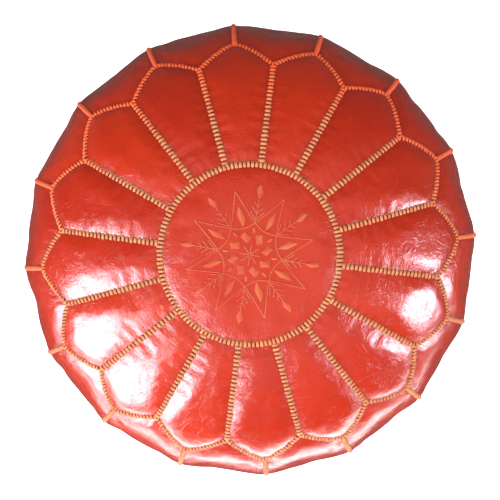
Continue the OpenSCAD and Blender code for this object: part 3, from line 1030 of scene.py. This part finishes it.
def satin(r, long, wide, slant, fullness=1.5, pitch=0.95 * MM):
    """Satin threads across a leaf (full) or a lozenge (fullness 1) that points outward."""
    spans = []
    for x in np.arange(-long / 2 + pitch, long / 2 - pitch / 2, pitch):
        half = wide / 2 * (1 - abs(2 * x / long) ** fullness)
        lean = half * slant
        spans.append(np.array([[r + x - lean, -half], [r + x + lean, half]]))
    return spans


def sprig():
    """A stem with chevrons that open outward, and a filled bud."""
    spans = backstitches(np.array([[36, 0], [60, 0]]) * MM, long=3.2 * MM, gap=0.3 * MM)
    for r, reach in ((37, 12), (44, 9.5), (51, 6.5)):
        for side in (-1, 1):
            branch = np.array([[r, 0], [r + reach * 0.76, side * reach * 0.65]]) * MM
            spans += backstitches(branch, long=4 * MM, gap=0.3 * MM)
    return spans, satin(67 * MM, long=15.5 * MM, wide=7 * MM, slant=0.5, fullness=1.25)


class POUF_OT_embroidery(Build):
    """Embroiders the star, leaves and sprigs on the medallion"""
    bl_idname = "pouf.embroidery"
    bl_label = "Medallion embroidery"

    def build(self, context):
        turn = math.radians(9)
        step = 2 * math.pi / MOTIFS
        lines, fills = [], []
        side = backstitches(star_side(), long=3.4 * MM, gap=0.25 * MM)
        ray = backstitches(np.array([[1.2, 0], [11.5, 0]]) * MM, long=5 * MM, gap=0.3 * MM)
        stem, bud = sprig()
        leaf = satin(41 * MM, long=22 * MM, wide=7 * MM, slant=0.6, fullness=1.35)
        lozenge = satin(18.5 * MM, long=12.5 * MM, wide=11 * MM, slant=0.35, fullness=1.0)
        dash = satin(26 * MM, long=7.5 * MM, wide=3 * MM, slant=0.5, pitch=0.9 * MM)
        for i in range(MOTIFS):
            # the two stars' sides alternate, and each side spans two tips
            lines += [turned(s, turn + i * step) for s in side]
            lines += [turned(s, turn + (i + 0.5) * step) for s in stem]
            fills += [turned(s, turn + (i + 0.5) * step) for s in bud]
            fills += [turned(s, turn + i * step) for s in leaf + lozenge]
            fills += [turned(s, turn + (i + 0.5) * step) for s in dash]
            lines += [turned(s, turn + (i + 0.5) * step) for s in ray]
        made = [grown(name, thread_nodes(), self.on_medallion(spans, rise),
                      {"Radius": radius, "Thread": embroidery_thread()})
                for name, spans, rise, radius in (("embroidery_lines", lines, 0.45 * MM, 0.62 * MM),
                                                  ("embroidery_fills", fills, 0.75 * MM, 0.48 * MM))]
        for obj in made:
            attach(obj, "root")
        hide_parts("medallion_embroidery")

    def on_medallion(self, spans, rise):
        """Each span as a short path laid on the leather and raised in its middle."""
        leather = bpy.data.objects["medallion_leather"]
        tree = BVHTree.FromObject(leather, bpy.context.evaluated_depsgraph_get())
        paths = []
        for span in spans:
            line, ups = [], []
            for part, lift in ((0.0, -0.35), (0.18, 0.6), (0.5, 1.0), (0.82, 0.6), (1.0, -0.35)):
                x, y = span[0] * (1 - part) + span[1] * part
                hit, normal, _, _ = tree.ray_cast(Vector((x, y, 1.0)), Vector((0, 0, -1)))
                line.append(np.array(hit) + np.array(normal) * rise * lift)
                ups.append(np.array(normal))
            paths.append((np.array(line), np.array(ups), False))
        return paths


class POUF_OT_zip(Build):
    """Finishes the zip: woven tapes, nylon coils, brass slider, pull and stops, and its thread rows"""
    bl_idname = "pouf.zip"
    bl_label = "Zip"

    def build(self, context):
        tape = woven_cloth("zip_tape", (0.20, 0.035, 0.020), (0.075, 0.012, 0.008), 900.0)
        finishes = {tape: ("zip_tape_front", "zip_tape_back"),
                    zip_metal(): ("zip_slider", "zip_pull", "zip_end_stops")}
        for material, nodes in finishes.items():
            for node in nodes:
                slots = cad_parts[node].data.materials
                slots.clear()
                slots.append(material)
        low, high = COIL_BOX
        middle_z = (low[2] + high[2]) / 2
        reach = high[2] - low[2]
        pitch = 2.0 * MM
        tooth = stitch_mesh("coil_turn", long=3.6 * MM, wide=1.15 * MM, high=reach * 0.9, rings=5, waist=0.0)
        for side, name in ((-1, "front"), (1, "back")):
            shift = pitch / 2 if side > 0 else 0.0
            x = np.array([low[0] + 0.8 * MM + shift, high[0] - 0.8 * MM - pitch / 2 + shift])
            y = side * 1.75 * MM
            line = np.stack([x, np.full(2, y), np.full(2, middle_z)], axis=-1)
            stitched(f"zip_coil_turns_{name}", f"zip_coil_{name}", [(line, facing_down(2), False)], tooth,
                     pitch, coil_plastic(), unevenness=0.0)
        row_low, row_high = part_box("zip_seam_stitches")
        row_y = row_high[1] - 0.6 * MM
        small = stitch_mesh("tape_stitch", long=3.4 * MM, wide=0.9 * MM, high=0.55 * MM, rings=5)
        rows = []
        for side in (-1, 1):
            x = np.linspace(row_low[0], row_high[0], 60)
            z = np.full(60, row_high[2] - 0.1 * MM)
            rows.append((np.stack([x, np.full(60, side * row_y), z], axis=-1), facing_down(60), False))
        stitched("zip_seam_thread", "zip_seam_stitches", rows, small, 3.9 * MM, seam_thread(),
                 slant=math.radians(90), unevenness=0.05)


LINER_GAP = 5.6 * MM  # between the leather and the liner
ZIP_ROOM = 16 * MM    # height of the liner's fold over the zip


class POUF_OT_inside(Build):
    """Builds the cotton liner bag and the wadding inside it"""
    bl_idname = "pouf.inside"
    bl_label = "Liner and stuffing"

    def build(self, context):
        cotton = woven_cloth("liner_cotton", (0.70, 0.63, 0.48), (0.48, 0.42, 0.31), 620.0)
        self.bag("liner_cushion", "liner_bag", "liner_cotton", cotton,
                 gap=LINER_GAP, lumps=0.8 * MM, seed=21)
        self.bag("wadding_fill", "stuffing", "wadding", wadding_fluff(),
                 gap=10.0 * MM, lumps=2.6 * MM, seed=22)

    def bag(self, name, node, slot, material, gap, lumps, seed):
        """Closed padded form a little inside the cover, clear of the zip."""
        cover, rng = Cover(), np.random.default_rng(seed)
        around, rows = 128, 96
        s = np.linspace(0, cover.s[-1], rows)
        foot = np.linspace(cover.r[-1], 0, 24)[1:]
        angle = np.linspace(0, 2 * math.pi, around, endpoint=False)[None, :]
        wander = sum(ripple(rng, angle * 0.2 + 0.03 * k, 3, 0.15, 0.04)
                     * ripple(rng, s[:, None], 3, 0.16, 0.05) for k in range(3))
        shell = cover.point(s[:, None] + 0 * angle, angle + 0 * s[:, None], -gap + lumps * 0.5 * wander,
                            cover.narrowing(s[:, None], angle))
        shell[0] = shell[0].mean(0)
        level = shell[-1, :, 2].mean()
        under = np.stack([foot[:, None] * np.cos(angle), foot[:, None] * np.sin(angle),
                          np.full((len(foot), around), level)], axis=-1)
        grid = np.concatenate([shell, under])
        x, y, z = grid[..., 0], grid[..., 1], grid[..., 2]
        out = np.hypot(np.maximum(np.abs(x) - CHANNEL_END, 0),
                       np.maximum(np.abs(y) - CHANNEL_SIDE - 3 * MM, 0))
        room = ZIP_ROOM + gap - LINER_GAP
        fold = room * (1 - smooth(out / (14 * MM)))
        grid[..., 2] = np.where(z < 0.03, np.maximum(z, fold), z)  # only the underside folds up
        index = np.arange(grid.shape[0] * around).reshape(-1, around)
        index = np.concatenate([index, index[:, :1]], axis=1)
        mesh = bpy.data.meshes.new(name)
        mesh.from_pydata(grid.reshape(-1, 3).tolist(), [], grid_faces(index).tolist())
        weld(mesh)
        obj = new_object(name, mesh, material)
        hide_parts(node)
        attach(obj, "root")


def weld(mesh):
    """Merges doubled points, as at a pole, and turns the faces outward."""
    work = bmesh.new()
    work.from_mesh(mesh)
    bmesh.ops.remove_doubles(work, verts=work.verts, dist=1e-6)
    bmesh.ops.recalc_face_normals(work, faces=work.faces)
    work.to_mesh(mesh)
    work.free()


class POUF_OT_stage(Build):
    """Lays the floor, hangs the soft lights and sets the camera"""
    bl_idname = "pouf.stage"
    bl_label = "Studio"

    def build(self, context):
        scene = context.scene
        stage = scene.pouf_stage
        half = 9.0  # wide enough to lie behind the pouf in low views
        corners = [(-half, -half, 0), (half, -half, 0), (half, half, 0), (-half, half, 0)]
        mesh = bpy.data.meshes.new("floor")
        mesh.from_pydata(corners, [], [(0, 1, 2, 3)])
        floor = new_object("floor", mesh, floor_paint())
        floor.visible_glossy = False
        world = bpy.data.worlds.new("studio")
        world.use_nodes = True
        sky = Tree(world.node_tree)
        background = world.node_tree.nodes["Background"]
        background.inputs["Color"].default_value = (1.0, 0.97, 0.94, 1)
        seen = sky.value("ShaderNodeLightPath", output="Is Camera Ray")
        # the backdrop looks pale, but it lights the pouf only dimly
        sky.tree.links.new((seen * 0.85 + 0.11).socket, background.inputs["Strength"])
        scene.world = world
        self.light("window", (-1.69, -1.12, 1.22), wide=1.45, deep=1.85, power=146, shade=(1.0, 0.86, 0.95))
        self.light("side", (1.77, -0.66, 0.98), wide=0.55, deep=1.0, power=42, shade=(1.0, 0.88, 1.0))
        self.light("card", (-0.15, -1.08, 0.012), wide=2.6, deep=0.9, power=62, shade=(1.0, 0.95, 0.96),
                   aim=(-0.15, -1.08, 1.0))
        fill = self.light("fill", (-0.05, -0.45, 2.3), wide=2.4, deep=2.4, power=126,
                          shade=(1.0, 0.98, 0.96), aim=(0.0, 0.0, 0.2))
        fill.visible_glossy = False  # lights the dye without a highlight
        scene.view_settings.view_transform = "Standard"
        data = bpy.data.cameras.new("camera")
        camera = bpy.data.objects.new("camera", data)
        context.collection.objects.link(camera)
        away = stage.camera_height - scene.pouf_cover.waist_height
        across = WAIST_R / stage.picture_share  # the picture's width, at the waist's height
        data.sensor_width = 36.0
        data.lens = data.sensor_width * away / across
        data.clip_end = 20
        target = Vector((0, 0, scene.pouf_cover.waist_height))
        roll = stage.camera_roll
        top = Vector((math.sin(-roll), math.cos(roll), 0))
        place = top * stage.camera_lead + Vector((0, 0, stage.camera_height))
        forward = (target - place).normalized()
        right = forward.cross(top).normalized()
        up = right.cross(forward)
        camera.matrix_world = matrix_from(right, up, -forward, place)
        scene.camera = camera

    def light(self, name, place, wide, deep, power, shade, aim=(0.0, 0.0, 0.25)):
        data = bpy.data.lights.new(name, "AREA")
        data.shape, data.size, data.size_y = "RECTANGLE", wide, deep
        data.energy, data.color = power, shade
        lamp = bpy.data.objects.new(name, data)
        bpy.context.collection.objects.link(lamp)
        lamp.location = place
        lamp.rotation_mode = "QUATERNION"
        lamp.rotation_quaternion = (Vector(aim) - Vector(place)).to_track_quat("-Z", "Y")
        return lamp


def matrix_from(x, y, z, place):
    made = Matrix((x, y, z)).transposed().to_4x4()
    made.translation = place
    return made


class POUF_PT_panel(bpy.types.Panel):
    """Lists the pouf's operators and settings"""
    bl_label = "Leather Pouf"
    bl_idname = "POUF_PT_panel"
    bl_space_type = "VIEW_3D"
    bl_region_type = "UI"
    bl_category = "Pouf"

    def draw(self, context):
        for operator in OPERATORS:
            self.layout.operator(operator.bl_idname)
        for name, group in GROUPS.items():
            box = self.layout.box()
            for key in group.__annotations__:
                box.prop(getattr(context.scene, name), key)


GROUPS = {"pouf_cover": PoufCover, "pouf_leather": PoufLeather, "pouf_thread": PoufThread,
          "pouf_stage": PoufStage}
OPERATORS = (POUF_OT_stage, POUF_OT_cover, POUF_OT_base, POUF_OT_seams, POUF_OT_embroidery, POUF_OT_zip,
             POUF_OT_inside)


def register():
    for group in (*GROUPS.values(), *OPERATORS, POUF_PT_panel):
        bpy.utils.register_class(group)
    for name, group in GROUPS.items():
        setattr(bpy.types.Scene, name, PointerProperty(type=group))


def unregister():
    for name in GROUPS:
        delattr(bpy.types.Scene, name)
    for group in (POUF_PT_panel, *reversed(OPERATORS), *reversed(GROUPS.values())):
        bpy.utils.unregister_class(group)


def main():
    register()
    for operator in OPERATORS:
        category, name = operator.bl_idname.split(".")
        getattr(getattr(bpy.ops, category), name)()


if __name__ == "__main__":
    main()
